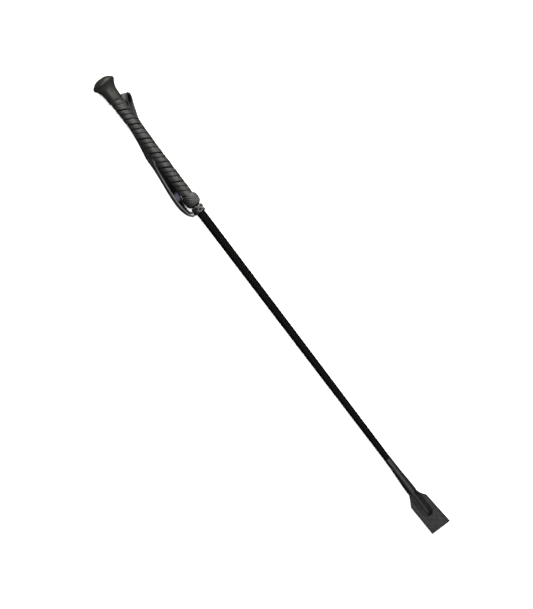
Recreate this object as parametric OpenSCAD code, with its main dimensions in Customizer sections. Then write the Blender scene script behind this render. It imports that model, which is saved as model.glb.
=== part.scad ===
// Riding crop: a fibreglass rod under a braided cover, a leather-wrapped handle with a
// flared cap, two woven knots, a flat wrist loop and a leather keeper with a bending tip.
// X runs along the crop from the butt to the keeper, Z is up, and the origin is the middle
// of the cap's end face. The crop lies on its cap rim and keeper neck.

/* [Overall] */
// Length from the cap's end face to the end of the keeper
crop_len = 650; // [600:10:750]
// Length from the cap's end face to the ball knot
handle_len = 167.4; // [160:0.2:175]

/* [Cap] */
// Length of the moulded cap
cap_len = 30.6; // [29:0.2:33]
// Radius of the cap's flared rim
rim_r = 14.1; // [13:0.1:16]
// Distance of the rim from the end face
rim_x = 7; // [6:0.5:8]
// Width of the straight band on the rim
rim_band = 1.6; // [1:0.1:2]
// Radius of the cap's neck
cap_neck_r = 8.65; // [8.4:0.05:9]
// Radius of the flat in the middle of the end face
end_flat_r = 4.5; // [3:0.5:6]
// Radius of the shallow dome around that flat
dome_r = 19; // [18:1:24]
// Radius of the socket that the handle core is pressed into
socket_r = 5.6; // [5:0.1:6]

/* [Handle] */
// Radius over the leather wrap beside the cap
grip_butt_r = 7.8; // [7.5:0.1:8.2]
// Radius over the leather wrap in the hand's hollow
grip_waist_r = 7.1; // [6.9:0.1:7.4]
// Radius over the leather wrap beside the ball knot
grip_front_r = 6.8; // [6.6:0.1:7]
// Thickness of the wrapped leather strip
wrap_thick = 1.5; // [1.2:0.1:1.8]

/* [Knots] */
// Radius of the woven ball knot
ball_r = 9.4; // [8.5:0.1:10]
// Length of the ball knot
ball_len = 15.4; // [14:0.2:16]
// Radius of the small knot that holds the wrist loop
knot_r = 7.5; // [7:0.1:8]
// Length of the small knot
knot_len = 10; // [9:0.5:11]

/* [Shaft] */
// Radius of the braided cover beside the small knot
braid_top_r = 4.95; // [4.7:0.05:5.2]
// Radius of the braided cover half way down
braid_mid_r = 4.42; // [4.2:0.02:4.5]
// Radius of the braided cover at the keeper
braid_tip_r = 3.72; // [3.6:0.02:3.9]
// Radius of the fibreglass rod at the butt
rod_butt_r = 3.3; // [3:0.1:3.5]
// Radius of the fibreglass rod at its tip
rod_tip_r = 2.2; // [2:0.1:2.4]

/* [Wrist loop] */
// Width of the wrist strap
strap_w = 10; // [9:0.5:10]
// Width of the strap's ends where the knot grips them
tail_w = 6; // [5:0.5:6.5]
// Thickness of the wrist strap
strap_thick = 1.6; // [1.2:0.1:1.6]

/* [Keeper] */
// Length of the keeper from the braid to its free end
keeper_len = 100; // [90:1:110]
// Length of the flap, shoulders included
flap_len = 50; // [48:1:55]
// Length of the flap's tip, beyond the line it bends on
tip_len = 17; // [15:0.5:19]
// Thickness of each of the two leather layers
layer = 1.5; // [1.2:0.1:1.8]

/* [Hidden] */
$fn = 96;

// stations along the crop
rod_start = 14;
core_start = 12;
knot_gap = 0.7;
knot_x0 = handle_len + ball_len + knot_gap;
knot_x1 = knot_x0 + knot_len;
core_setback = 0.8;
core_end = handle_len + ball_len - core_setback;
braid_start = core_end;
keeper_x = crop_len - keeper_len;
braid_end = keeper_x + 6;
shoulder_x = crop_len - flap_len;
hinge_x = crop_len - tip_len;
rod_end = hinge_x - 11;
hinge_gap = 0.3;

// handle core and wrap
core_r = [socket_r, grip_butt_r - wrap_thick, grip_waist_r - wrap_thick,
          grip_front_r - wrap_thick];
waist_x = 76;
ball_wall = 1.5;
binding_r = braid_top_r + 0.75;

// the surface under the crop touches the cap's rim and the keeper's neck
neck_low_x = shoulder_x - 8;
neck_low_r = 5.4;
function ground(x) =
    -rim_r + (x - rim_x) * (rim_r - neck_low_r) / (neck_low_x - rim_x);
strap_lift = 0.3;

// the wrist strap's route, from the knot round the bight and back: x, y, height above
// lying on the ground, and how far the strap's upper edge leans in x and in y
route = [
    [190.4, -8.3, 4.4, 0, 0], [190.1, -10.2, 4, 0, 0.6], [187.6, -11.8, 3.2, 0, 1.4],
    [183.4, -13.7, 2, 0, 2.2], [177, -15.1, 0.8, 0, 2.8], [168, -15.8, 0.1, 0, 3],
    [153, -15, 0, 0, 2.9], [138, -13.4, 0, 0, 2.6], [122, -11.6, 0, 0, 3.2],
    [109, -10, 0, 0, 6], [103, -8.3, 0, 0, 8.7], [96, -6.8, 0, 0, 9.4],
    [87, -5.2, 0, 0, 9.4], [75, -3.6, 0, 0, 9.4], [63, -2.1, 0, 0, 9.3], [52, 0.8, 0, 0.6, 9],
    [44, 4.1, 0, 2.5, 8.2], [36, 7.9, 0, 4, 7.2], [29.9, 11.2, 0.2, 4.5, 6.5],
    [29.5, 13.7, 0.3, 3.2, 5.6], [32.3, 15.2, 0.3, 2.6, 5.2], [37, 13.9, 0.2, 2.4, 5.6],
    [45.5, 10.3, 0, 1.6, 6.6], [54, 6.8, 0, 0.8, 8.2], [62, 3.9, 0, 0.2, 9.2],
    [76, 2.9, 0, 0, 9.4], [89, 2.7, 0, 0, 9.4], [100, 1.6, 0, 0, 9.4],
    [111, -1.6, 0, 0, 9.5], [121, -4.9, 0, 0, 9.5], [132, -7.2, 0, 0, 9.5],
    [143, -8.9, 0, 0, 9.2], [152, -10, 0, 0, 8], [160, -10.7, 0, 0, 7.3],
    [167, -11, 0, 0, 6.2], [175, -12.6, 0.5, 0, 3.8], [182, -11.8, 2, 0, 2.2],
    [185.3, -10.2, 3.4, 0, 0.9], [187, -8.3, 4.4, 0, 0]];
taper_x = 178;
spans = 2;

// ---- shared shapes ----

// a solid of revolution about the crop's axis from a list of [x, r] points
module turned(points) {
    rotate([0, 90, 0]) mirror([1, 0, 0])
        rotate_extrude() polygon([for (p = points) [p[1], p[0]]]);
}

// a straight or tapered tube on the axis
module tube(x0, x1, outer0, outer1, inner0, inner1) {
    turned([[x0, inner0], [x0, outer0], [x1, outer1], [x1, inner1]]);
}

// everything on one side of the mid-plane, +1 for above and -1 for below
module half(side) {
    reach = 40;
    translate([keeper_x - 1, -reach / 2, side > 0 ? 0 : -reach])
        cube([keeper_len + 2, reach, reach]);
}

function rod_r(x) =
    rod_butt_r + (rod_tip_r - rod_butt_r) * (x - rod_start) / (rod_end - rod_start);

// a barrel outline between x0 and x1 that stands to radius r
function barrel(x0, x1, r, base, power, steps) =
    [for (i = [0 : steps]) let (u = -1 + 2 * i / steps)
        [(x0 + x1) / 2 + u * (x1 - x0) / 2,
         max(base, r * pow(max(0, 1 - pow(abs(u) * 0.985, power)), 1 / power))]];

// ---- handle ----

module butt_cap() {
    flare_from = rim_x + rim_band / 2;
    flare_to = 24;
    flare_steps = 10;
    dome_steps = 6;
    dome_edge = 12.6;
    sag0 = dome_r - sqrt(dome_r * dome_r - end_flat_r * end_flat_r);
    lip = 0.15;
    color("dimgray") turned(concat(
        [[0, 0], [0, end_flat_r]],
        [for (i = [1 : dome_steps]) let (r = end_flat_r + (dome_edge - end_flat_r) * i / dome_steps)
            [dome_r - sqrt(dome_r * dome_r - r * r) - sag0, r]],
        [[5.2, 13.6], [rim_x - rim_band / 2, rim_r], [flare_from, rim_r]],
        [for (i = [1 : flare_steps]) let (u = 1 - i / flare_steps)
            [flare_from + 0.3 + (flare_to - flare_from - 0.3) * (1 - u),
             cap_neck_r + (rim_r - 0.5 - cap_neck_r) * pow(u, 2.35)]],
        [[cap_len - 2, cap_neck_r], [cap_len - 1.4, cap_neck_r + lip], [cap_len, cap_neck_r + lip],
         [cap_len, socket_r], [core_start, socket_r], [core_start, 0]]));
}

module handle_core() {
    color("darkslategray") turned([
        [core_start, rod_r(rod_start)], [core_start, core_r[0]], [cap_len, core_r[0]],
        [cap_len, core_r[1]], [waist_x, core_r[2]], [handle_len, core_r[3]],
        [core_end, core_r[3]], [core_end, rod_r(core_end)], [rod_start, rod_r(rod_start)]]);
}

module core_rod() {
    color("khaki") turned([[rod_start, 0], [rod_start, rod_r(rod_start)],
                           [rod_end, rod_tip_r], [rod_end, 0]]);
}

module grip_wrap() {
    color("slategray") turned([
        [cap_len, core_r[1]], [cap_len, grip_butt_r], [waist_x, grip_waist_r],
        [handle_len + 1, grip_front_r], [handle_len + 1, core_r[3]], [handle_len, core_r[3]],
        [waist_x, core_r[2]]]);
}

// ---- knots ----

function ball_core_outline() =
    let (x0 = handle_len + 2, x1 = core_end - 1)
    concat([[x0, core_r[3]]],
           barrel(x0, x1, ball_r - ball_wall, core_r[3] + 0.2, 2.6, 10), [[x1, core_r[3]]]);

module ball_core() {
    color("burlywood") turned(ball_core_outline());
}

module ball_cover() {
    skirt = 0.5;
    end_x = handle_len + ball_len;
    inner = concat([[handle_len + 1, core_r[3]]], ball_core_outline());
    color("gray") turned(concat(
        [[handle_len, grip_front_r]],
        barrel(handle_len, end_x, ball_r, grip_front_r + skirt, 2.6, 14),
        [[end_x, braid_top_r], [core_end, braid_top_r], [core_end, core_r[3]]],
        [for (i = [len(inner) - 1 : -1 : 0]) inner[i]],
        [[handle_len + 1, grip_front_r]]));
}

module knot_binding() {
    color("black") tube(knot_x0 + 1, knot_x1 - 1, binding_r, binding_r,
                        braid_r(knot_x0 + 1), braid_r(knot_x1 - 1));
}

function braid_r(x) =
    let (mid = (braid_start + braid_end) / 2)
    x < mid ? braid_top_r + (braid_mid_r - braid_top_r) * (x - braid_start) / (mid - braid_start)
            : braid_mid_r + (braid_tip_r - braid_mid_r) * (x - mid) / (braid_end - mid);

module loop_knot() {
    difference() {
        color("dimgray") turned(concat([[knot_x0, 0]],
            barrel(knot_x0, knot_x1, knot_r, binding_r + 0.6, 2.6, 12), [[knot_x1, 0]]));
        knot_binding();
        shaft_braid();
        core_rod();
        strap_tails();
    }
}

module strap_tails() {
    color("darkslateblue") for (i = [0, len(route) - 1]) {
        end = strap_point(route[i]);
        translate([end[0] - strap_thick / 2, end[1] + hinge_gap, end[2] - tail_w / 2])
            cube([strap_thick, -binding_r - end[1] - hinge_gap, tail_w]);
    }
}

// ---- wrist loop ----

function strap_width(x) =
    x < taper_x ? strap_w
                : strap_w - (strap_w - tail_w) * (x - taper_x) / (route[0][0] - taper_x);

// upright part of a strap that leans by l in x and y
function strap_rise(s, w) = sqrt(w * w - s[3] * s[3] - s[4] * s[4]);

// a route station scaled to the strap's width there
function fitted(s) =
    let (k = strap_width(s[0]) / 10) [s[0], s[1], s[2], s[3] * k, s[4] * k];

function strap_point(s) =
    let (f = fitted(s), w = strap_width(s[0]),
         flat = strap_thick * norm([f[3], f[4]]) / w)
    [f[0], f[1], ground(f[0]) + strap_lift + (strap_rise(f, w) + flat) / 2 + f[2]];

function strap_lean(s) =
    let (f = fitted(s)) [f[3], f[4], strap_rise(f, strap_width(s[0]))];

// one value between stations b and c on a smooth curve through a, b, c and d
function smooth(a, b, c, d, t) =
    (2 * b + (c - a) * t + (2 * a - 5 * b + 4 * c - d) * t * t
        + (3 * b - a - 3 * c + d) * t * t * t) / 2;

last = len(route) - 1;
stations = concat(
    [for (i = [0 : last - 1]) for (k = [0 : spans - 1])
        smooth(route[max(i - 1, 0)], route[i], route[i + 1], route[min(i + 2, last)], k / spans)],
    [route[last]]);

module wrist_strap() {
    n = len(stations);
    mid = [for (s = stations) strap_point(s)];
    lean = [for (s = stations) strap_lean(s)];
    run = [for (i = [0 : n - 1])
        i == 0 ? [0, -1, 0] : i == n - 1 ? [0, 1, 0] : mid[i + 1] - mid[i - 1]];
    side = [for (i = [0 : n - 1])
        let (c = cross(run[i], lean[i])) c / norm(c) * strap_thick / 2];
    points = [for (i = [0 : n - 1]) for (k = [[-1, -1], [1, -1], [1, 1], [-1, 1]])
        mid[i] + k[0] * side[i] + k[1] * lean[i] / 2];
    walls = [for (i = [0 : n - 2]) for (k = [0 : 3])
        let (a = 4 * i + k, b = 4 * i + (k + 1) % 4) each [[a, b, b + 4], [a, b + 4, a + 4]]];
    ends = [[3, 2, 1, 0], [for (k = [0 : 3]) 4 * (n - 1) + k]];
    color("midnightblue") polyhedron(points, concat(walls, ends), convexity = 8);
}

// ---- shaft ----

module shaft_braid() {
    mid = (braid_start + braid_end) / 2;
    color("black") turned([
        [braid_start, rod_r(braid_start)], [braid_start, braid_top_r], [mid, braid_mid_r],
        [braid_end, braid_tip_r], [braid_end, rod_r(braid_end)]]);
}

// ---- keeper ----

cap_wall = 0.6;
tip_cap_r = rod_tip_r + cap_wall;
sleeve = 10;
binding_outer_r = braid_tip_r - 0.3;
neck = [[keeper_x, braid_tip_r + 0.32], [keeper_x + 18, 4.3], [keeper_x + 32, 5],
        [neck_low_x, neck_low_r], [shoulder_x, 5.1]];
ridge_end_r = 3.9;
ridge_end_x = rod_end + 3.2;
binding_end = braid_end + 19;

module neck_binding() {
    color("saddlebrown") tube(braid_end, binding_end, binding_outer_r, binding_outer_r,
                              rod_r(braid_end), rod_r(binding_end));
}

module tip_cap_outside() {
    translate([rod_end - sleeve, 0, 0]) rotate([0, 90, 0])
        cylinder(h = sleeve, r = tip_cap_r);
    translate([rod_end, 0, 0]) sphere(r = tip_cap_r);
}

module rod_tip_cap() {
    difference() {
        color("ivory") tip_cap_outside();
        core_rod();
    }
}

// all that the keeper's neck is wrapped around: braid, binding, rod and tip cap
module inside_keeper() {
    turned([[keeper_x - 2, 0], [keeper_x - 2, braid_r(keeper_x - 2)], [braid_end, braid_tip_r],
            [braid_end, binding_outer_r], [binding_end, binding_outer_r],
            [binding_end, rod_r(binding_end)], [rod_end - sleeve, rod_r(rod_end - sleeve)],
            [rod_end - sleeve, 0]]);
    tip_cap_outside();
}

// half-widths of the flap: its corners lie a little askew
shoulder_hi = 11;
shoulder_lo = -12.4;
end_hi = 14.4;
end_lo = -10.9;
corner_x = shoulder_x + 9;
function side_y(x, from, to) = from + (to - from) * (x - corner_x) / (crop_len - corner_x);

// the flap's outline between two lines across it
module flap_outline(x0, x1) {
    start = x0 < corner_x
        ? [[x0, -5.6], [corner_x + 2, side_y(corner_x + 2, shoulder_lo, end_lo)]]
        : [[x0, side_y(x0, shoulder_lo, end_lo)]];
    finish = x0 < corner_x
        ? [[corner_x, shoulder_hi], [corner_x - 5, 6.6], [x0, 4.6]]
        : [[x0, side_y(x0, shoulder_hi, end_hi)]];
    polygon(concat(start, [[x1, side_y(x1, shoulder_lo, end_lo)],
                           [x1, side_y(x1, shoulder_hi, end_hi)]], finish));
}

module keeper_layer(side) {
    difference() {
        intersection() {
            union() {
                translate([0, 0, -layer]) linear_extrude(2 * layer)
                    flap_outline(shoulder_x - 2, hinge_x - layer - hinge_gap);
                turned(concat([[keeper_x, 0]], neck, [[ridge_end_x, ridge_end_r],
                                                      [ridge_end_x, 0]]));
                translate([ridge_end_x, 0, 0]) sphere(r = ridge_end_r);
            }
            half(side);
        }
        inside_keeper();
    }
}

module keeper_front() { color("dimgray") keeper_layer(1); }

module keeper_back() { color("gray") keeper_layer(-1); }

// each layer of the tip ends in a quarter round about the line it bends on
module tip_layer(side) {
    intersection() {
        union() {
            translate([0, 0, -layer]) linear_extrude(2 * layer)
                flap_outline(hinge_x, crop_len);
            translate([hinge_x, side_y(hinge_x, shoulder_lo, end_lo), 0]) rotate([-90, 0, 0])
                cylinder(h = side_y(hinge_x, shoulder_hi, end_hi)
                             - side_y(hinge_x, shoulder_lo, end_lo), r = layer);
        }
        half(side);
    }
}

module flap_front() { color("dimgray") tip_layer(1); }

module flap_back() { color("gray") tip_layer(-1); }

// one stitch of the row that follows the flap's edge, lying on the front layer
stitch = [2, 0.5, 0.3];
stitch_pitch = 3;
stitch_inset = 1.9;

module stitch_row(from, to, x0, x1) {
    for (x = [x0 : stitch_pitch : x1])
        translate([x, side_y(x, from, to), layer])
            rotate([0, 0, atan((to - from) / (crop_len - corner_x))])
                translate([-stitch[0] / 2, -stitch[1] / 2, 0]) cube(stitch);
}

module edge_stitches(x0, x1) {
    stitch_row(shoulder_hi - stitch_inset, end_hi - stitch_inset, x0, x1);
    stitch_row(shoulder_lo + stitch_inset, end_lo + stitch_inset, x0, x1);
}

module keeper_stitching() {
    color("silver") edge_stitches(corner_x + 3, hinge_x - layer - 2);
}

module flap_stitching() {
    color("silver") {
        edge_stitches(hinge_x + 2, crop_len - 3);
        for (y = [end_lo + 2 * stitch_inset : stitch_pitch : end_hi - 2 * stitch_inset])
            translate([crop_len - stitch_inset - stitch[1] / 2, y, layer])
                cube([stitch[1], stitch[0], stitch[2]]);
    }
}

butt_cap();
handle_core();
core_rod();
shaft_braid();
grip_wrap();
ball_core();
ball_cover();
knot_binding();
loop_knot();
strap_tails();
wrist_strap();
neck_binding();
keeper_front();
keeper_back();
keeper_stitching();
rod_tip_cap();
flap_front();
flap_back();
flap_stitching();
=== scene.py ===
"""A leather riding crop lying on a pale studio floor, seen from straight above."""
import math

import bmesh
import bpy
import numpy as np
from mathutils import Matrix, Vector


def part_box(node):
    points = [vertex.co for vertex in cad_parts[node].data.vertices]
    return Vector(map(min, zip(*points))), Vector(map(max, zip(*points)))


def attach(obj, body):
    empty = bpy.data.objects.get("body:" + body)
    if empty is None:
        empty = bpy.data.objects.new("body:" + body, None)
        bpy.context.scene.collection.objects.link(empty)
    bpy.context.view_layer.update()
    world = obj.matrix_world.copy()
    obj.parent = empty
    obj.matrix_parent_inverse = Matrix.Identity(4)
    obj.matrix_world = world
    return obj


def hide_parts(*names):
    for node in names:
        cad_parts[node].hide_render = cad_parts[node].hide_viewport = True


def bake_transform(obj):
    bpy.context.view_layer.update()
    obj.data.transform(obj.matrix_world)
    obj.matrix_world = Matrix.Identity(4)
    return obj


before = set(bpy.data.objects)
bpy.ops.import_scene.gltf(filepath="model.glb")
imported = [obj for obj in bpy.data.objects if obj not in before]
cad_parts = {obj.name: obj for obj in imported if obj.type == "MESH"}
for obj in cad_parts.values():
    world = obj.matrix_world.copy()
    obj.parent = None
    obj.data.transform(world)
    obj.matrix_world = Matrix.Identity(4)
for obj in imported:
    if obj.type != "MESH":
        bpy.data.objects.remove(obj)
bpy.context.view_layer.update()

MM = 0.001


def low(node):
    """Lowest corner of a CAD node in millimetres."""
    return [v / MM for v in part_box(node)[0]]


def high(node):
    """Highest corner of a CAD node in millimetres."""
    return [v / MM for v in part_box(node)[1]]


# ---- places and sizes, in millimetres along the crop, read from the frame ----

CROP_END = high("flap_front")[0]
CAP_END = high("butt_cap")[0]
RIM_R = high("butt_cap")[2]
RIM_X = 7.0
BALL_X0, BALL_X1 = low("ball_cover")[0], high("ball_cover")[0]
BALL_R = high("ball_cover")[2]
KNOT_X0, KNOT_X1 = low("loop_knot")[0], high("loop_knot")[0]
KNOT_R = high("loop_knot")[2]
GRIP_X1 = high("grip_wrap")[0]
GRIP_R = high("grip_wrap")[2]
BRAID_X0, BRAID_X1 = low("shaft_braid")[0], high("shaft_braid")[0]
KEEPER_X0 = low("keeper_front")[0]
SHOULDER_X = CROP_END - 50
CORNER_X = SHOULDER_X + 9
NECK_LOW_X = SHOULDER_X - 8
NECK_END_X, NECK_END_R = SHOULDER_X - 2, 5.25
NECK_LOW_R = high("keeper_front")[2]
HINGE_X = CROP_END - 17
LAYER = 1.5

# the wrist strap's route: x, y, height above lying, lean of its upper edge in x and y
STRAP_W, TAIL_W, STRAP_THICK, STRAP_LIFT, TAPER_X = 10.0, 6.0, 1.6, 0.3, 178.0
ROUTE = [
    (190.4, -8.3, 4.4, 0, 0), (190.1, -10.2, 4, 0, 0.6), (187.6, -11.8, 3.2, 0, 1.4),
    (183.4, -13.7, 2, 0, 2.2), (177, -15.1, 0.8, 0, 2.8), (168, -15.8, 0.1, 0, 3),
    (153, -15, 0, 0, 2.9), (138, -13.4, 0, 0, 2.6), (122, -11.6, 0, 0, 3.2),
    (109, -10, 0, 0, 6), (103, -8.3, 0, 0, 8.7), (96, -6.8, 0, 0, 9.4), (87, -5.2, 0, 0, 9.4),
    (75, -3.6, 0, 0, 9.4), (63, -2.1, 0, 0, 9.3), (52, 0.8, 0, 0.6, 9), (44, 4.1, 0, 2.5, 8.2),
    (36, 7.9, 0, 4, 7.2), (29.9, 11.2, 0.2, 4.5, 6.5), (29.5, 13.7, 0.3, 3.2, 5.6),
    (32.3, 15.2, 0.3, 2.6, 5.2), (37, 13.9, 0.2, 2.4, 5.6), (45.5, 10.3, 0, 1.6, 6.6),
    (54, 6.8, 0, 0.8, 8.2), (62, 3.9, 0, 0.2, 9.2), (76, 2.9, 0, 0, 9.4), (89, 2.7, 0, 0, 9.4),
    (100, 1.6, 0, 0, 9.4), (111, -1.6, 0, 0, 9.5), (121, -4.9, 0, 0, 9.5),
    (132, -7.2, 0, 0, 9.5), (143, -8.9, 0, 0, 9.2), (152, -10, 0, 0, 8),
    (160, -10.7, 0, 0, 7.3), (167, -11, 0, 0, 6.2), (175, -12.6, 0.5, 0, 3.8),
    (182, -11.8, 2, 0, 2.2), (185.3, -10.2, 3.4, 0, 0.9), (187, -8.3, 4.4, 0, 0),
]


def ground(x):
    """Height of the floor under the crop: it touches the cap's rim and the keeper's neck."""
    slope = (RIM_R - NECK_LOW_R) / (NECK_LOW_X - RIM_X)
    return -RIM_R + (x - RIM_X) * slope


# ---- meshes ----

class Faces:
    """Points in millimetres and faces with a material number, gathered into one mesh."""

    def __init__(self):
        self.points, self.faces, self.slots, self.painted_light_values = [], [], [], []

    def add(self, points, faces, slots=0, painted_light_values=()):
        start = len(self.points)
        self.points.extend(map(tuple, points))
        self.painted_light_values.extend(painted_light_values)
        self.faces.extend(tuple(i + start for i in f) for f in faces)
        self.slots.extend(slots if isinstance(slots, list) else [slots] * len(faces))

    def grid(self, rows, around=True, ends=True, slots=None, painted_light_values=()):
        """A surface through rows of points, closed round each row and capped at both ends."""
        n, m = len(rows), len(rows[0])
        faces, marks = [], []
        for i in range(n - 1):
            for j in range(m if around else m - 1):
                k = (j + 1) % m
                faces.append((i * m + j, i * m + k, (i + 1) * m + k, (i + 1) * m + j))
                marks.append(slots[j] if slots else 0)
        if ends and around:
            faces += [tuple(range(m))[::-1], tuple((n - 1) * m + j for j in range(m))]
            marks += [slots[0] if slots else 0] * 2
        self.add(np.asarray(rows).reshape(-1, 3), faces, marks, painted_light_values)

    def object(self, name, materials, merge=None):
        mesh = bpy.data.meshes.new(name)
        mesh.from_pydata((np.asarray(self.points) * MM).tolist(), [], self.faces)
        for m in materials:
            mesh.materials.append(m)
        mesh.polygons.foreach_set("material_index", self.slots)
        mesh.polygons.foreach_set("use_smooth", [True] * len(mesh.polygons))
        # the per-point painted light and shade, which some materials multiply into their colour
        if self.painted_light_values:
            shade = mesh.attributes.new("painted_light", "FLOAT", "POINT")
            shade.data.foreach_set("value", self.painted_light_values)
        mesh.update()
        if merge:
            merge_close(mesh, merge * MM)
        piece = bpy.data.objects.new(name, mesh)
        bpy.context.scene.collection.objects.link(piece)
        return piece


def merge_close(mesh, distance):
    """Joins points that lie together and drops the faces that this closes up."""
    bm = bmesh.new()
    bm.from_mesh(mesh)
    bmesh.ops.remove_doubles(bm, verts=bm.verts, dist=distance)
    bmesh.ops.dissolve_degenerate(bm, edges=bm.edges, dist=distance)
    bmesh.ops.recalc_face_normals(bm, faces=bm.faces)
    bm.to_mesh(mesh)
    bm.free()


def smooth_curve(stations, steps):
    """Points on a Catmull-Rom curve through the stations, with some steps between each two."""
    s = np.asarray(stations, float)
    out = []
    for i in range(len(s) - 1):
        a, b, c, d = s[max(i - 1, 0)], s[i], s[i + 1], s[min(i + 2, len(s) - 1)]
        for t in np.arange(steps) / steps:
            out.append((2 * b + (c - a) * t + (2 * a - 5 * b + 4 * c - d) * t * t
                        + (3 * b - a - 3 * c + d) * t ** 3) / 2)
    return np.array(out + [s[-1]])


def lathe(profile, segments=96):
    """Rows of points for a profile of [x, radius] turned about the crop's axis."""
    turn = np.linspace(0, 2 * math.pi, segments, endpoint=False)
    return [[(x, r * math.cos(a), r * math.sin(a)) for a in turn] for x, r in profile]


def running_length(points):
    """Distance along a line of points, at each of them."""
    return np.r_[0, np.cumsum(np.linalg.norm(np.diff(points, axis=0), axis=1))]


def unit(v):
    return v / np.maximum(np.linalg.norm(v, axis=-1, keepdims=True), 1e-12)


def strand(faces, path, outward, half_w, half_t, sides=8, closed=False):
    """A flattened thread or strand along a path; outward is its thin direction."""
    path, outward = np.asarray(path, float), np.asarray(outward, float)
    if closed:
        run = unit(np.roll(path, -1, 0) - np.roll(path, 1, 0))
    else:
        run = unit(np.gradient(path, axis=0))
    flat = unit(np.cross(run, outward))
    up = unit(np.cross(flat, run))
    turn = np.linspace(0, 2 * math.pi, sides, endpoint=False)
    ring = [path + flat * (half_w * math.cos(a)) + up * (half_t * math.sin(a)) for a in turn]
    rows = np.stack(ring, axis=1)
    if closed:
        rows = np.concatenate([rows, rows[:1]])
    faces.grid(rows.tolist(), ends=not closed)


def around_axis(x, r, a):
    """Points at station x, radius r and angle a about the crop's axis."""
    return np.stack([x, r * np.cos(a), r * np.sin(a)], axis=-1)


def stitch(faces, at, along, out, length, radius):
    """One raised thread stitch, rounded down into the leather at both ends."""
    at, along, out = (np.asarray(v, float) for v in (at, along, out))
    t = np.linspace(-1, 1, 7)
    rise = radius * (0.9 - 1.5 * np.abs(t) ** 3)
    path = at + np.outer(t * length / 2, along) + np.outer(rise, out)
    strand(faces, path, np.tile(out, (7, 1)), radius * 1.25, radius, 6)


# ---- materials ----

def shader(name, colour, rough, **values):
    """A material with its Principled shader; values name other inputs of it."""
    material = bpy.data.materials.new(name)
    material.use_nodes = True
    principled = material.node_tree.nodes["Principled BSDF"]
    principled.inputs["Base Color"].default_value = (*colour, 1)
    principled.inputs["Roughness"].default_value = rough
    for key, value in values.items():
        principled.inputs[key.replace("_", " ")].default_value = value
    return material, principled


class Nodes:
    """Short calls for building a material's node tree."""

    def __init__(self, material, principled):
        self.tree, self.principled = material.node_tree, principled
        self.place = self.new("ShaderNodeTexCoord").outputs["Object"]

    def new(self, kind, **settings):
        node = self.tree.nodes.new(kind)
        for key, value in settings.items():
            setattr(node, key, value)
        return node

    def link(self, source, target):
        self.tree.links.new(source, target)

    def noise(self, size, detail=4.0, rough=0.55, stretch=(1, 1, 1)):
        """Noise with blobs of about that many millimetres."""
        mapping = self.new("ShaderNodeMapping")
        mapping.inputs["Scale"].default_value = stretch
        self.link(self.place, mapping.inputs["Vector"])
        node = self.new("ShaderNodeTexNoise")
        node.inputs["Scale"].default_value = 1 / (size * MM)
        node.inputs["Detail"].default_value = detail
        node.inputs["Roughness"].default_value = rough
        self.link(mapping.outputs[0], node.inputs["Vector"])
        return node.outputs["Fac"]

    def cells(self, size):
        """Leather pores and creases: distance to the edges of cells of that size."""
        node = self.new("ShaderNodeTexVoronoi", feature="DISTANCE_TO_EDGE")
        node.inputs["Scale"].default_value = 1 / (size * MM)
        self.link(self.place, node.inputs["Vector"])
        return node.outputs["Distance"]

    def ramp(self, value, *stops):
        """A colour ramp with stops of (position, colour)."""
        node = self.new("ShaderNodeValToRGB")
        ramp = node.color_ramp
        while len(ramp.elements) < len(stops):
            ramp.elements.new(0.5)
        for element, (position, colour) in zip(ramp.elements, stops):
            element.position = position
            element.color = (*colour, 1)
        self.link(value, node.inputs["Fac"])
        return node.outputs["Color"]

    def span(self, value, low_in, high_in, low_out, high_out):
        node = self.new("ShaderNodeMapRange")
        for key, v in zip(("From Min", "From Max", "To Min", "To Max"),
                          (low_in, high_in, low_out, high_out)):
            node.inputs[key].default_value = v
        self.link(value, node.inputs["Value"])
        return node.outputs[0]

    def math(self, operation, a, b):
        node = self.new("ShaderNodeMath", operation=operation)
        for socket, v in zip(node.inputs, (a, b)):
            if isinstance(v, (int, float)):
                socket.default_value = v
            else:
                self.link(v, socket)
        return node.outputs[0]

    def bump(self, height, depth):
        """Relief of about that many millimetres."""
        node = self.new("ShaderNodeBump")
        node.inputs["Strength"].default_value = 1.0
        node.inputs["Distance"].default_value = depth * MM
        self.link(height, node.inputs["Height"])
        self.link(node.outputs[0], self.principled.inputs["Normal"])

    def colour(self, output):
        self.link(output, self.principled.inputs["Base Color"])

    def rough(self, output):
        self.link(output, self.principled.inputs["Roughness"])

    def with_painted_light(self, colour):
        """Paints light and shade into the colour: darkens or lightens it by the mesh's painted
        light value.
        """
        painted_light = self.new("ShaderNodeAttribute", attribute_name="painted_light").outputs["Fac"]
        scale = self.new("ShaderNodeVectorMath", operation="SCALE")
        self.link(colour, scale.inputs[0])
        self.link(painted_light, scale.inputs["Scale"])
        return scale.outputs[0]


def tint(colour, k):
    return tuple(min(1.0, c * k) for c in colour)


def leather(name, colour, rough=0.5, grain=0.7, depth=0.05, mottle=0.35, wear=0.0,
            specular=0.5, with_painted_light=False):
    """Dyed leather: pores, fine creases, mottled dye and a little wear in its sheen; where
    asked, painted light and shade from the mesh scale its colour.
    """
    material, principled = shader(name, colour, rough, Specular_IOR_Level=specular)
    n = Nodes(material, principled)
    patches = n.noise(9, 5)
    fine = n.noise(0.9, 3)
    mix = n.math("ADD", n.math("MULTIPLY", patches, 0.6), n.math("MULTIPLY", fine, 0.4))
    dye = n.ramp(mix, (0.34, tint(colour, 1 - mottle)), (0.5, colour),
                 (0.66, tint(colour, 1 + mottle + wear)))
    # where asked, the mesh's painted light and shade scale the dye
    n.colour(n.with_painted_light(dye) if with_painted_light else dye)
    n.rough(n.span(n.noise(5, 4), 0.3, 0.7, rough - 0.09, rough + 0.1))
    pores = n.span(n.cells(grain), 0.0, 0.22, 0.0, 1.0)
    relief = n.math("ADD", n.math("MULTIPLY", pores, 0.7),
                    n.math("MULTIPLY", n.noise(0.35, 5), 0.5))
    n.bump(relief, depth)
    return material


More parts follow.
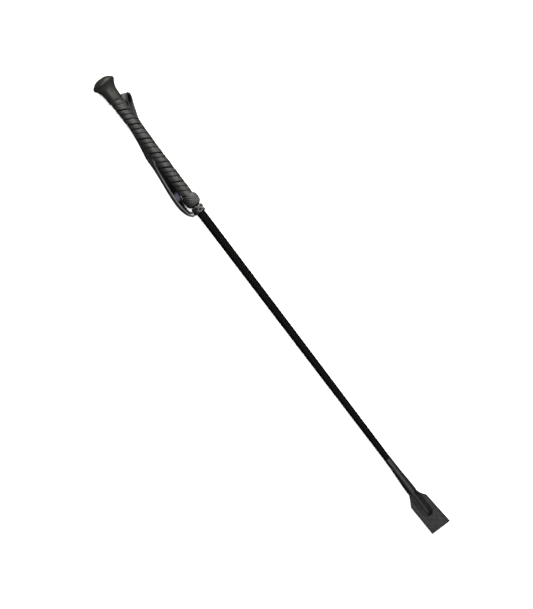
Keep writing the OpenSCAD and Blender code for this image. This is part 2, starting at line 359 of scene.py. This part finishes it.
def moulded(name, colour, rough, specular):
    """Satin rubbery plastic with a faint mottle and the odd scuff."""
    material, principled = shader(name, colour, rough, Specular_IOR_Level=specular)
    n = Nodes(material, principled)
    patches = n.noise(7, 6, 0.6)
    warm = (colour[0] * 1.5, colour[1] * 1.45, colour[2] * 1.2)
    n.colour(n.ramp(patches, (0.35, tint(colour, 0.8)), (0.52, colour), (0.68, warm)))
    n.rough(n.span(n.noise(3, 5), 0.3, 0.7, rough - 0.08, rough + 0.12))
    relief = n.math("ADD", n.math("MULTIPLY", n.noise(0.5, 4), 0.5), n.noise(2.5, 2))
    n.bump(relief, 0.05)
    return material


def thread(name, colour, rough=0.6, size=0.25, specular=0.4):
    """Waxed or braided thread with fibres."""
    material, principled = shader(name, colour, rough, Specular_IOR_Level=specular)
    n = Nodes(material, principled)
    fibres = n.noise(size, 3, 0.6, (0.35, 1, 1))
    n.colour(n.ramp(fibres, (0.35, tint(colour, 0.6)), (0.65, tint(colour, 1.6))))
    n.bump(fibres, 0.06)
    return material


def resin(name, colour):
    """Translucent-looking fibreglass with long fibres."""
    material, principled = shader(name, colour, 0.25)
    n = Nodes(material, principled)
    fibres = n.noise(0.6, 4, 0.6, (0.03, 1, 1))
    n.colour(n.ramp(fibres, (0.3, tint(colour, 0.75)), (0.7, tint(colour, 1.1))))
    n.bump(fibres, 0.02)
    return material


GRIP = leather("grip_leather", (0.021, 0.021, 0.0212), 0.42, 0.6, 0.06, 0.35, specular=0.28)
# near-black leather that paints shade into recesses: the grip's gaps and stitch holes, and under
# the ball's strands
GROOVE_SHADE = leather("groove_shade_leather", (0.0006, 0.0006, 0.0006), 0.9, 0.6, 0.05, 0.3, specular=0.02)
# the knot, strap and keeper materials below carry painted light and shade from their meshes
WOVEN = leather("woven_leather", (0.058, 0.058, 0.058), 0.34, 0.5, 0.03, 0.35, specular=0.1,
                with_painted_light=True)
STRAP_OUT = leather("strap_outside", (0.015, 0.015, 0.0155), 0.45, 0.6, 0.04, 0.4,
                    specular=0.09, with_painted_light=True)
# the strap's inside face: lighter and purple-grey, partly its own smoother finish and partly a
# painted sheen
STRAP_IN = leather("strap_inside", (0.036, 0.033, 0.045), 0.4, 1.1, 0.03, 0.3,
                   specular=0.06, with_painted_light=True)
STRAP_EDGE = leather("strap_edge", (0.1, 0.097, 0.094), 0.6, 0.5, 0.04, 0.4, 0.2,
                     specular=0.1, with_painted_light=True)
KEEPER = leather("keeper_leather", (0.015, 0.015, 0.015), 0.4, 0.65, 0.05, 0.32,
                 specular=0.08, with_painted_light=True)
KEEPER_EDGE = leather("keeper_edge", (0.003, 0.003, 0.003), 0.6, 0.5, 0.04, 0.4, specular=0.1)
CAP = moulded("moulded_cap", (0.013, 0.013, 0.0125), 0.46, 0.22)
BRAID = thread("black_braid", (0.0006, 0.0006, 0.0006), 0.6, 0.3, 0.06)
# near-black sheet under the braid's threads: painted shade between them
BRAID_SHADE = thread("braid_shadow", (0.0002, 0.0002, 0.0002), 0.9, 0.3, 0.01)
STITCH = thread("stitch_thread", (0.012, 0.012, 0.012), 0.5, 0.2, 0.2)
DARK_STITCH = thread("dark_thread", (0.0015, 0.0015, 0.0015), 0.6, 0.2, 0.05)
BINDING = thread("binding_thread", (0.003, 0.003, 0.003), 0.6, 0.25, 0.1)
CORE = moulded("core_plastic", (0.02, 0.02, 0.02), 0.5, 0.3)
ROD = resin("fibreglass", (0.75, 0.70, 0.52))


# ---- handle ----

def make_cap():
    """The moulded cap: a shallow dome, a rounded rim, a flare and a small lip."""
    dome = [(0.0, 0.01), (0.0, 2.4), (0.02, 4.5), (0.5, 6.4), (1.25, 8.4), (2.3, 10.3),
            (3.6, 12.0)]
    rim = [(4.5, 12.95), (5.4, 13.65), (6.3, 14.05), (RIM_X, RIM_R), (7.8, 14.02),
           (8.7, 13.55), (9.6, 12.9)]
    flare = [(11.2, 11.85), (13.2, 10.8), (15.6, 9.85), (18.4, 9.2), (21.5, 8.82), (25, 8.67)]
    lip = [(CAP_END - 2.2, 8.66), (CAP_END - 1.5, 8.72), (CAP_END - 0.9, 8.84),
           (CAP_END - 0.3, 8.78), (CAP_END, 8.45)]
    inside = [(CAP_END, 6.4)]
    profile = smooth_curve(dome + rim + flare + lip, 5).tolist() + inside
    faces = Faces()
    faces.grid(lathe(profile, 128))
    piece = faces.object("cap_shell", [CAP])
    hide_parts("butt_cap")
    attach(piece, "crop")


# the winding's pitch, and where one of its deep gaps crosses the +y side
PITCH = 20.76
GROOVE_X = 49.9
# depth of the wound strip's face across one turn: a deep gap at 0, two lesser channels
STRIP_FACE = [
    (0.0, -1.35), (0.5, -1.3), (0.75, -0.6), (1.05, -0.2), (1.6, 0.0), (3.3, 0.14),
    (5.1, 0.04), (5.8, -0.12), (6.1, -0.6), (6.3, -0.82), (6.6, -0.82), (6.8, -0.5),
    (7.1, -0.1), (7.9, 0.06), (9.6, 0.14), (11.4, 0.04), (12.2, -0.12), (12.55, -0.6),
    (12.75, -0.85), (13.05, -0.85), (13.25, -0.5), (13.6, -0.1), (14.5, 0.04), (17.0, 0.1),
    (19.0, 0.0), (19.8, -0.16), (20.15, -0.6), (20.4, -1.28),
]
# faces sunk deeper than this get painted shade
SHADE_BELOW = -0.45
# the first turn's last channel is sewn: a hole of some sides at every few sides of the ring
SEAM_FROM, SEAM_TO = 12.1, 13.4
SEAM_STEP, HOLE_SIDES = 6, 3
HOLE_DEPTH, BETWEEN_DEPTH = -0.95, -0.1


def grip_radius(x):
    return np.interp(x, [CAP_END, 50, 76, BALL_X0], [GRIP_R, GRIP_R - 0.3, 7.1, 6.82])


def make_grip():
    """One leather strip wound round the core, with ribs along it and a gap each turn; painted
    shade darkens its gaps, channels and stitch holes.
    """
    faces = Faces()
    sides = 120
    first = GROOVE_X - 2 * PITCH
    turns = int((GRIP_X1 - first) / PITCH) + 3
    lines = [(first + t * PITCH + u, d) for t in range(turns) for u, d in STRIP_FACE]
    angles = np.linspace(0, 2 * math.pi, sides, endpoint=False)
    wobble = lambda x, a: 0.06 * np.sin(x * 0.37 + 2 * a) + 0.04 * np.sin(x * 0.9 - 3 * a)
    seam = lambda x0: SEAM_FROM < x0 - first < SEAM_TO
    hole = [j % SEAM_STEP < HOLE_SIDES for j in range(sides)]
    # each ring follows the helix: a full turn moves it back by one pitch
    rows = []
    for x0, cut in lines:
        row = []
        for j, a in enumerate(angles):
            depth = (HOLE_DEPTH if hole[j] else BETWEEN_DEPTH) if seam(x0) else cut
            x = x0 - PITCH * a / (2 * math.pi) + PITCH
            inside = min(max(x, CAP_END), GRIP_X1)
            r = grip_radius(inside) + depth + wobble(inside, a)
            row.append((inside, r * math.cos(a), r * math.sin(a)))
        rows.append(row)
    # the last point of a ring meets the first point of the ring one pitch before it
    per_turn = len(STRIP_FACE)
    n = len(rows)
    flat, quads, marks = np.array(rows).reshape(-1, 3), [], []
    for i in range(n - 1):
        low_face = (lines[i][1] + lines[i + 1][1]) / 2 < SHADE_BELOW
        for j in range(sides):
            # stitch holes and sunk faces take the painted shade material
            dark = int(hole[j] if seam(lines[i][0]) else low_face)
            if j < sides - 1:
                quad = (i * sides + j, i * sides + j + 1,
                        (i + 1) * sides + j + 1, (i + 1) * sides + j)
            elif i >= per_turn:
                k = i - per_turn
                quad = (i * sides + j, k * sides, (k + 1) * sides, (i + 1) * sides + j)
            else:
                continue
            xs = flat[list(quad), 0]
            if xs.max() - xs.min() > 1e-4:
                quads.append(quad)
                marks.append(dark)
    faces.add(flat, quads, marks)
    for x, rim_r in ((CAP_END, 8.0), (GRIP_X1, 7.2)):
        faces.grid(lathe([(x, 6.3), (x, rim_r)], sides), ends=False)
    piece = faces.object("grip_strip", [GRIP, GROOVE_SHADE], merge=0.01)
    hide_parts("grip_wrap")
    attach(piece, "crop")


def helix_point(u, x):
    """Angle at which the strip's line u lies over station x."""
    return 2 * math.pi * (GROOVE_X + u - x) / PITCH


def make_grip_stitches():
    """Thread in three stretches of the strip's channels."""
    faces = Faces()
    runs = [(12.9, 56, 66), (6.45 + PITCH, 68, 76), (12.9 + 3 * PITCH, 118, 126)]
    for u, x0, x1 in runs:
        for x in np.arange(x0, x1, 0.7):
            a = helix_point(u, x)
            r = float(grip_radius(x)) - 0.35
            at = around_axis(np.array(x), r, np.array(a))
            step = around_axis(np.array(x + 0.1), r, np.array(helix_point(u, x + 0.1)))
            out = np.array([0, math.cos(a), math.sin(a)])
            stitch(faces, at, unit(step - at), out, 1.4, 0.36)
    piece = faces.object("grip_stitching", [DARK_STITCH])
    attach(piece, "crop")


# ---- knots ----

def barrel_r(x, x0, x1, radius, power=2.6):
    u = np.abs((x - (x0 + x1) / 2) / ((x1 - x0) / 2)) * 0.985
    return radius * np.maximum(0, 1 - u ** power) ** (1 / power)


def weave(faces, x0, x1, radius, count, twist, half_w, half_t, lift, steps, turn_at):
    """Two families of strands on a barrel that change places, over for under, part way along."""
    s = np.linspace(0, 1, steps)
    x = x0 + (x1 - x0) * s
    for way in (1, -1):
        for i in range(count):
            a = 2 * math.pi * i / count + way * twist * (s - 0.5)
            r = radius(x) + way * lift * np.tanh((s - turn_at) * 16)
            path = around_axis(x, r, a)
            out = around_axis(x * 0, np.ones_like(r), a)
            slope = np.gradient(radius(x), x)
            out[:, 0] = -slope
            strand(faces, path, unit(out), half_w, half_t, 8)


def woven_painted_light(points, r):
    """Painted light and shade on the knots: painted shade on their -y side, painted light on
    their +y side.
    """
    return [float(np.interp(y / r, [-0.8, -0.45, 0.1, 0.5], [0.12, 0.35, 1.0, 1.25]))
            for _, y, _ in points]


def make_ball():
    """The ball knot: many thin strands woven over the foundation ring, which is near-black as
    painted shade between the strands.
    """
    faces = Faces()
    x0, x1 = BALL_X0 + 0.2, BALL_X1 - 1.0
    surface = lambda x: np.maximum(barrel_r(x, x0 - 0.4, x1 + 0.4, BALL_R, 3.0) - 0.84, 5.6)
    weave(faces, x0, x1, surface, 16, 1.9, 0.86, 0.6, 0.36, 46, 0.66)
    # painted shade on the ball's -y side, painted light on its +y side
    faces.painted_light_values = woven_painted_light(faces.points, BALL_R)
    piece = faces.object("ball_weave", [WOVEN])
    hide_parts("ball_cover")
    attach(piece, "crop")
    base = Faces()
    xs = np.linspace(BALL_X0 + 0.3, BALL_X1 - 0.3, 24)
    body = [(x, float(max(barrel_r(x, BALL_X0, BALL_X1, BALL_R) - 1.15, 5.2))) for x in xs]
    base.grid(lathe(body, 64))
    # the foundation is near-black: painted shade between the strands
    under = base.object("ball_foundation", [GROOVE_SHADE])
    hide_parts("ball_core")
    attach(under, "crop")


def make_loop_knot():
    """The small knot: a three-lead Turk's head of one broad strand that grips the strap."""
    faces = Faces()
    leads, bights, steps = 3, 5, 260
    middle = (KNOT_X0 + KNOT_X1) / 2 - 0.5
    reach = (KNOT_X1 - KNOT_X0) / 2 - 1.2
    t = np.linspace(0, 2 * math.pi * leads, steps, endpoint=False)
    wave = bights / leads * t
    x = middle + reach * np.cos(wave)
    r = KNOT_R - 1.2 + 0.6 * np.sin(2 * wave) - 0.5 * np.abs(np.cos(wave)) ** 4
    path = around_axis(x, r, t)
    out = around_axis(x * 0, np.ones_like(r), t)
    out[:, 0] = 0.5 * np.cos(wave) ** 3
    strand(faces, path, unit(out), 1.15, 0.62, 10, closed=True)
    # painted shade on the knot's -y side, painted light on its +y side
    faces.painted_light_values = woven_painted_light(faces.points, KNOT_R)
    piece = faces.object("loop_knot_strands", [WOVEN])
    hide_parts("loop_knot")
    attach(piece, "crop")


# ---- shaft ----

def braid_r(x):
    middle = (BRAID_X0 + BRAID_X1) / 2
    return np.interp(x, [BRAID_X0, middle, BRAID_X1], [5.05, 4.56, 3.8])


def make_braid():
    """The shaft's braided cover: flat threads crossing over a near-black sheet that paints the
    shade between them.
    """
    faces = Faces()
    count, lay = 8, 38.0
    x = np.arange(BRAID_X0, BRAID_X1, 0.62)
    for way in (1, -1):
        for i in range(count):
            turn = 2 * math.pi * (x - BRAID_X0) / lay
            a = 2 * math.pi * i / count + way * turn
            r = braid_r(x) - 0.2 + way * 0.13 * np.cos(count * turn)
            path = around_axis(x, r, a)
            strand(faces, path, around_axis(x * 0, np.ones_like(r), a), 0.98, 0.24, 6)
    shade_depth = 0.5
    xs = np.linspace(BRAID_X0, BRAID_X1, 12)
    faces.grid(lathe([(v, float(braid_r(v)) - shade_depth) for v in xs], 32), slots=[1] * 32)
    piece = faces.object("braid_threads", [BRAID, BRAID_SHADE])
    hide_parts("shaft_braid")
    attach(piece, "crop")


# ---- wrist loop ----

def strap_stations(steps):
    """Middle, upright lean, run and side direction along the strap."""
    s = smooth_curve(ROUTE, steps)
    x = s[:, 0]
    taper = (x - TAPER_X) / (ROUTE[0][0] - TAPER_X)
    width = np.where(x < TAPER_X, STRAP_W, STRAP_W - (STRAP_W - TAIL_W) * taper)
    lean = s[:, 3:5] * (width / STRAP_W)[:, None]
    rise = np.sqrt(width ** 2 - (lean ** 2).sum(1))
    flat = STRAP_THICK * np.linalg.norm(lean, axis=1) / width
    z = ground(x) + STRAP_LIFT + (rise + flat) / 2 + s[:, 2]
    middle = np.column_stack([x, s[:, 1], z])
    upright = np.column_stack([lean, rise])
    run = np.gradient(middle, axis=0)
    run[0], run[-1] = (0, -1, 0), (0, 1, 0)
    side = unit(np.cross(unit(run), upright))
    return middle, upright, unit(run), side


# the strap's cross-section: across its width (-1 to 1) and through its thickness (-1 to 1)
SECTION = [
    (-1.0, -0.35), (-0.985, -0.8), (-0.94, -1.0), (-0.8, -1.02), (-0.72, -0.86),
    (-0.64, -1.02), (-0.3, -1.06), (0.3, -1.06), (0.64, -1.02), (0.72, -0.86), (0.8, -1.02),
    (0.94, -1.0), (0.985, -0.8), (1.0, -0.35), (1.0, 0.35), (0.985, 0.8), (0.94, 1.0),
    (0.5, 1.03), (0.0, 1.04), (-0.5, 1.03), (-0.94, 1.0), (-0.985, 0.8), (-1.0, 0.35),
]
EDGE_FROM = 0.93
BEAD_PITCH = 1.35


def section_slots():
    """Outside 0, inside 1, cut edge 2, for each face round the strap's section."""
    slots = []
    for k, (w, t) in enumerate(SECTION):
        w2, t2 = SECTION[(k + 1) % len(SECTION)]
        if min(abs(w), abs(w2)) >= EDGE_FROM:
            slots.append(2)
        else:
            slots.append(0 if t + t2 < 0 else 1)
    return slots


def strap_rows(middle, upright, side):
    gone = running_length(middle)
    bead = 0.022 * np.cos(2 * math.pi * gone / BEAD_PITCH)
    return [[m + (w + (b * np.sign(w) if abs(w) > 0.9 else 0)) * u / 2
             + t * s * STRAP_THICK / 2 for w, t in SECTION]
            for m, u, s, b in zip(middle, upright, side, bead)]


def strap_painted_light(middle):
    """Painted light and shade on the strap's outside, inside and cut edges along its route."""
    x, back = middle[:, 0], np.arange(len(middle)) > len(middle) / 2
    # painted highlight on the outside, strongest at the bend, and on the route's first half from
    # x 100 on
    bight = np.exp(-((x - 30) / 5.5) ** 2)
    outside = 1 + 8 * bight + np.where(back, 0, np.interp(x, [100, 125], [0, 2.6]))
    # inside: painted shade in the bend and along most of it, painted highlights near x 44 to 69
    # and x 157 to 167; the first half's inside is an even painted shade
    inside = np.interp(x, [30, 39, 44, 52, 80, 100, 156, 159, 164, 168],
                       [0.05, 0.12, 1.2, 1.6, 0.6, 0.12, 0.12, 2.6, 3.2, 0.1])
    inside = np.where(back, inside, 0.4)
    # painted shade on the cut edges, deepest near the bend and, on the second half, near the
    # knot
    edge = np.where(back, np.interp(x, [34, 45, 140, 150], [0.15, 0.8, 0.6, 0.12]),
                    np.interp(x, [36, 60, 100, 112, 130], [0.15, 1, 0.5, 0.5, 1]))
    return [[float(e if abs(w) >= EDGE_FROM else o if t < 0 else i) for w, t in SECTION]
            for o, i, e in zip(outside, inside, edge)]


# where x and y are both greater, the strap belongs to its gripped ends
TAIL_X, TAIL_Y = 184.5, -9.9


def make_strap():
    """The wrist strap, and the twisting ends of it that the knot grips."""
    materials = [STRAP_OUT, STRAP_IN, STRAP_EDGE]
    middle, upright, run, side = strap_stations(24)
    loop = [i for i, m in enumerate(middle) if not (m[0] > TAIL_X and m[1] > TAIL_Y)]
    first, last = loop[0], loop[-1]
    faces = Faces()
    rows = strap_rows(middle, upright, side)
    # painted light and shade along the strap's route
    painted_light_values = strap_painted_light(middle)
    flat = lambda part: [t for row in part for t in row]
    faces.grid(rows[first:last + 1], slots=section_slots(), painted_light_values=flat(painted_light_values[first:last + 1]))
    piece = faces.object("strap_leather", materials)
    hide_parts("wrist_strap")
    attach(piece, "wrist_loop")
    tails = Faces()
    held_y = -5.7
    for ends in (range(0, first + 1), range(len(rows) - 1, last - 1, -1)):
        seat = middle[ends[0]]
        into = []
        for y in np.linspace(held_y, seat[1], 8)[:-1]:
            spot = np.array([[seat[0], y, seat[2]]])
            into.append(strap_rows(spot, [upright[ends[0]]], [side[ends[0]]])[0])
        shades = [painted_light_values[ends[0]]] * len(into) + [painted_light_values[i] for i in ends]
        tails.grid(into + [rows[i] for i in ends], slots=section_slots(), painted_light_values=flat(shades))
    tail = tails.object("strap_ends", materials)
    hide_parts("strap_tails")
    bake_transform(tail)
    make_strap_stitches(middle, upright, run, side)


def make_strap_stitches(middle, upright, run, side):
    """Two rows of thread along the strap's outside."""
    faces = Faces()
    gone = running_length(middle)
    pitch, length, row = BEAD_PITCH, 0.85, 0.66
    for distance in np.arange(6.0, gone[-1] - 6.0, pitch):
        at = [np.interp(distance, gone, middle[:, k]) for k in range(3)]
        up = unit(np.array([np.interp(distance, gone, upright[:, k]) for k in range(3)]))
        out = -unit(np.array([np.interp(distance, gone, side[:, k]) for k in range(3)]))
        along = unit(np.array([np.interp(distance, gone, run[:, k]) for k in range(3)]))
        half = np.interp(distance, gone, np.linalg.norm(upright, axis=1)) / 2
        for way in (-row, row):
            spot = np.array(at) + up * half * way + out * STRAP_THICK / 2 * 0.92
            stitch(faces, spot, along, out, length, 0.34)
    piece = faces.object("strap_stitching", [DARK_STITCH])
    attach(piece, "wrist_loop")


# ---- keeper ----

SHOULDER_HI, SHOULDER_LO = 11.0, -12.4
END_HI, END_LO = 14.4, -10.9
NECK = [(KEEPER_X0, 4.02), (KEEPER_X0 + 8, 4.14), (KEEPER_X0 + 18, 4.34), (KEEPER_X0 + 32, 5.0),
        (NECK_LOW_X, NECK_LOW_R), (NECK_END_X, NECK_END_R)]
RIDGE_END = HINGE_X - 2.2
NECK_CURVE = smooth_curve(NECK, 8)


def neck_r(x):
    return np.interp(x, NECK_CURVE[:, 0], NECK_CURVE[:, 1])


def ridge(x):
    """Height and half-width of the swelling over the rod's tip."""
    t = np.clip((x - NECK_END_X) / (RIDGE_END - NECK_END_X), 0, 1)
    height = np.interp(t, [0, 0.35, 0.75, 0.86, 0.94, 0.98, 1],
                       [NECK_END_R, 4.9, 4.6, 4.3, 3.6, 2.7, LAYER - 0.1])
    half = np.interp(t, [0, 0.15, 0.35, 0.8, 0.9, 0.96, 1], [5.3, 6.4, 7, 6.9, 6.2, 5, 3.6])
    return height, half


def side_lines(x):
    """The flap's edges at station x: the upper shoulder is hollow, the lower one straight."""
    k = (x - CORNER_X) / (CROP_END - CORNER_X)
    upper = SHOULDER_HI + (END_HI - SHOULDER_HI) * k
    lower = SHOULDER_LO + (END_LO - SHOULDER_LO) * k
    r = float(neck_r(min(x, NECK_END_X)))
    if x < CORNER_X:
        t = np.clip((x - NECK_END_X) / (CORNER_X - NECK_END_X), 0, 1)
        upper = r + (SHOULDER_HI - r) * t ** 1.7
    if x < CORNER_X + 2:
        t = np.clip((x - NECK_END_X) / (CORNER_X + 2 - NECK_END_X), 0, 1)
        lower = -r + (side_at(CORNER_X + 2) + r) * t ** 1.05
    return lower, upper


def side_at(x):
    return SHOULDER_LO + (END_LO - SHOULDER_LO) * (x - CORNER_X) / (CROP_END - CORNER_X)


def face_height(x, y, lower, upper):
    """Height of the front leather above the middle of the keeper."""
    if x <= NECK_END_X:
        r = float(neck_r(x))
        v = np.clip(y / max(abs(lower if y < 0 else upper), 1e-6), -1, 1)
        return r * math.sqrt(max(0.0, 1 - v * v))
    tall, half = ridge(x)
    edge = min(y - lower, upper - y, CROP_END - x)
    plate = LAYER * min(1.0, max(0.0, edge / 0.55)) ** 0.5
    plate -= 0.12 * math.exp(-((edge - 1.9) / 0.35) ** 2)
    v = min(1.0, abs(y) / half)
    swell = (tall - LAYER) * (1 - v ** 1.25) ** 1.15
    blend_in = np.clip((x - NECK_END_X) / 5.0, 0, 1)
    round_neck = (math.sqrt(max(0.0, float(neck_r(NECK_END_X)) ** 2 - y * y))
                  if abs(y) < NECK_END_R else 0)
    flat = max(plate, 0) + max(swell, 0)
    sheet = flat * blend_in + max(round_neck, plate) * (1 - blend_in)
    return sheet + 0.05 * math.sin(x * 0.8) * math.sin(y * 0.7) * min(1, max(0, edge))


def keeper_painted_light(x, y):
    """Painted light and shade: a painted highlight on the crest over the rod and along the neck,
    painted shade on the ridge's flanks; darker towards the border.
    """
    lower, upper = side_lines(x)
    crest = math.exp(-(y / 1.1) ** 2)
    # on the neck: a painted highlight along its crest, painted shade on its sides
    if x < NECK_END_X:
        return 0.45 + 1.15 * math.exp(-(y / 1.5) ** 2)
    edge = max(0.0, min(y - lower, upper - y, CROP_END - x))
    border = 0.45 + 0.4 * min(1.0, edge / 2.2)
    half = ridge(x)[1]
    inside = 1 / (1 + math.exp((abs(y) - half * 0.95) / 0.35)) if x < RIDGE_END else 0.0
    fade = 1 - max(0.0, min(1.0, (x - RIDGE_END + 6) / 5))
    # painted shade on the +y flank and next to the crest; farther out on the -y flank the
    # painted light is brighter instead
    depth = 0.8 if y > 0 else 0.8 - 1.7 * min(1.0, -y / 3.5)
    return border * (1 - depth * inside) + 1.1 * crest * inside * fade


def keeper_sheet(side):
    """One leather layer, front or back, from the neck to the flap's end."""
    xs = np.concatenate([np.arange(KEEPER_X0, NECK_END_X, 1.0),
                         np.arange(NECK_END_X, CROP_END - 0.6, 0.5),
                         CROP_END - np.array([0.55, 0.4, 0.25, 0.12, 0.04, 0.0])])
    across = 56
    v = np.linspace(-1, 1, across)
    v = np.sign(v) * (1 - (1 - np.abs(v)) ** 1.35)
    rows = []
    for x in xs:
        lower, upper = side_lines(x)
        mid, wide = (lower + upper) / 2, (upper - lower) / 2
        if x <= NECK_END_X:
            step = 0.22 * np.clip((x - (KEEPER_X0 + 15)) / 2.0, 0, 1)
            ang = np.pi * (1 - (np.linspace(-1, 1, across) + 1) / 2)
            r = float(neck_r(x))
            ys = r * np.cos(ang) - step * (np.cos(ang) < -0.75)
            tops = r * np.sin(ang)
        else:
            mix = np.clip((x - NECK_END_X) / 4, 0, 1)
            even = -np.cos(np.pi * (v + 1) / 2)
            ys = mid + wide * (even * (1 - mix) + v * mix)
            tops = np.array([face_height(x, y, lower, upper) for y in ys])
        gap = 0.03
        top = [(x, y, side * (max(t, 0) + gap)) for y, t in zip(ys, tops)]
        under = [(x, y, side * gap) for y in ys[::-1]]
        rows.append(top + under)
    faces = Faces()
    painted_light_values = [keeper_painted_light(x, y) for row in rows for x, y, _ in row]
    faces.grid(rows, slots=[0] * (across - 1) + [1] * (across + 1), painted_light_values=painted_light_values)
    return faces


def make_keeper():
    """Front and back leather of the keeper, each in one piece from the neck to the flap's end,
    across the hinge line.
    """
    for side, name, nodes in ((1, "keeper_front_leather", ("keeper_front", "flap_front")),
                              (-1, "keeper_back_leather", ("keeper_back", "flap_back"))):
        piece = keeper_sheet(side).object(name, [KEEPER, KEEPER_EDGE], merge=0.002)
        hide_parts(*nodes)
        bend_flap(piece)
    make_keeper_stitches()


def bend_flap(piece):
    """Bakes the piece's placement into its mesh; the leather is not bent."""
    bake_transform(piece)


def make_keeper_stitches():
    """A row of stitches just inside the flap's edge, on both faces."""
    faces = Faces()
    inset, pitch = 1.9, 2.45
    line = []
    for x in np.arange(CORNER_X + 3, CROP_END - inset, 0.35):
        line.append((x, side_lines(x)[1] - inset))
    top = line[-1][1]
    bottom = side_lines(CROP_END - inset)[0] + inset
    line += [(CROP_END - inset, y) for y in np.arange(top, bottom, -0.35)]
    for x in np.arange(CROP_END - inset, CORNER_X + 5, -0.35):
        line.append((x, side_lines(x)[0] + inset))
    line = np.array(line)
    gone = running_length(line)
    for distance in np.arange(pitch / 2, gone[-1], pitch):
        x, y = (np.interp(distance, gone, line[:, k]) for k in (0, 1))
        x2, y2 = (np.interp(distance + 0.2, gone, line[:, k]) for k in (0, 1))
        along = unit(np.array([x2 - x, y2 - y, 0]))
        lower, upper = side_lines(x)
        h = face_height(x, y, lower, upper)
        for side in (1, -1):
            stitch(faces, (x, y, side * (h - 0.02)), along, (0, 0, side), 1.8, 0.24)
    piece = faces.object("keeper_stitches", [STITCH])
    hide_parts("keeper_stitching", "flap_stitching")
    bend_flap(piece)


# ---- frame nodes that keep their CAD shape ----

def finish_frame_nodes():
    looks = {"handle_core": CORE, "core_rod": ROD, "knot_binding": BINDING,
             "neck_binding": BINDING, "rod_tip_cap": CORE}
    for name, material in looks.items():
        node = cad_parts[name]
        node.data.materials.clear()
        node.data.materials.append(material)


# ---- stage ----

def make_floor():
    """A pale floor that touches the cap's rim and the keeper's neck."""
    size = 6.0
    slope = (ground(1000) - ground(0)) / 1000
    mesh = bpy.data.meshes.new("floor")
    corners = [(-size, -size), (size, -size), (size, size), (-size, size)]
    points = [(x, y, ground(0) * MM + slope * x) for x, y in corners]
    mesh.from_pydata(points, [], [(0, 1, 2, 3)])
    floor = bpy.data.objects.new("floor", mesh)
    bpy.context.scene.collection.objects.link(floor)
    material, _ = shader("pale_floor", (0.93, 0.93, 0.93), 0.9)
    mesh.materials.append(material)
    # the floor gives no diffuse or glossy light back, which keeps the leather black
    floor.visible_diffuse = floor.visible_glossy = False


def area_light(name, place, target, size, watts, colour=(1, 1, 1)):
    data = bpy.data.lights.new(name, "AREA")
    data.color = colour
    data.shape = "RECTANGLE"
    data.size, data.size_y = size
    data.energy = watts
    light = bpy.data.objects.new(name, data)
    bpy.context.scene.collection.objects.link(light)
    away = unit(np.array(place, float) - np.array(target, float))
    side = unit(np.cross((0, 0, 1.0), away)) if abs(away[2]) < 0.99 else np.array([1.0, 0, 0])
    up = np.cross(away, side)
    light.matrix_world = Matrix([[side[k], up[k], away[k], place[k]] for k in range(3)]
                                + [[0, 0, 0, 1]])


def make_lights():
    world = bpy.data.worlds.new("studio")
    world.use_nodes = True
    world.node_tree.nodes["Background"].inputs["Color"].default_value = (1, 1, 1, 1)
    world.node_tree.nodes["Background"].inputs["Strength"].default_value = 0.1
    bpy.context.scene.world = world
    middle = (0.32, 0, 0)
    area_light("key", (0.33, 0.03, 2.2), middle, (0.8, 0.6), 60)
    area_light("side", (0.20, 1.5, 1.4), middle, (1.4, 0.5), 28)
    area_light("end", (-0.9, 0.75, 0.42), (0, 0, 0), (0.5, 0.3), 28, (1.0, 0.95, 0.82))


def make_camera():
    """Straight above, with the crop running from the upper left to the lower right."""
    turn = math.radians(52.853)
    right = (math.cos(turn), math.sin(turn), 0)
    up = (-math.sin(turn), math.cos(turn), 0)
    data = bpy.data.cameras.new("camera")
    camera = bpy.data.objects.new("camera", data)
    bpy.context.scene.collection.objects.link(camera)
    far, tall, sensor = 2.5, 0.7031, 36.0
    data.sensor_width = sensor
    data.lens = sensor * far / tall
    data.clip_end = 50
    middle = (0.3231, -0.0037)
    place = (*middle, far)
    camera.matrix_world = Matrix([[right[k], up[k], (0, 0, 1)[k], place[k]] for k in range(3)]
                                 + [[0, 0, 0, 1]])
    bpy.context.scene.camera = camera
    bpy.context.scene.view_settings.view_transform = "Standard"


make_camera()
make_lights()
make_floor()
make_cap()
make_grip()
make_grip_stitches()
make_ball()
make_loop_knot()
make_braid()
make_strap()
make_keeper()
finish_frame_nodes()
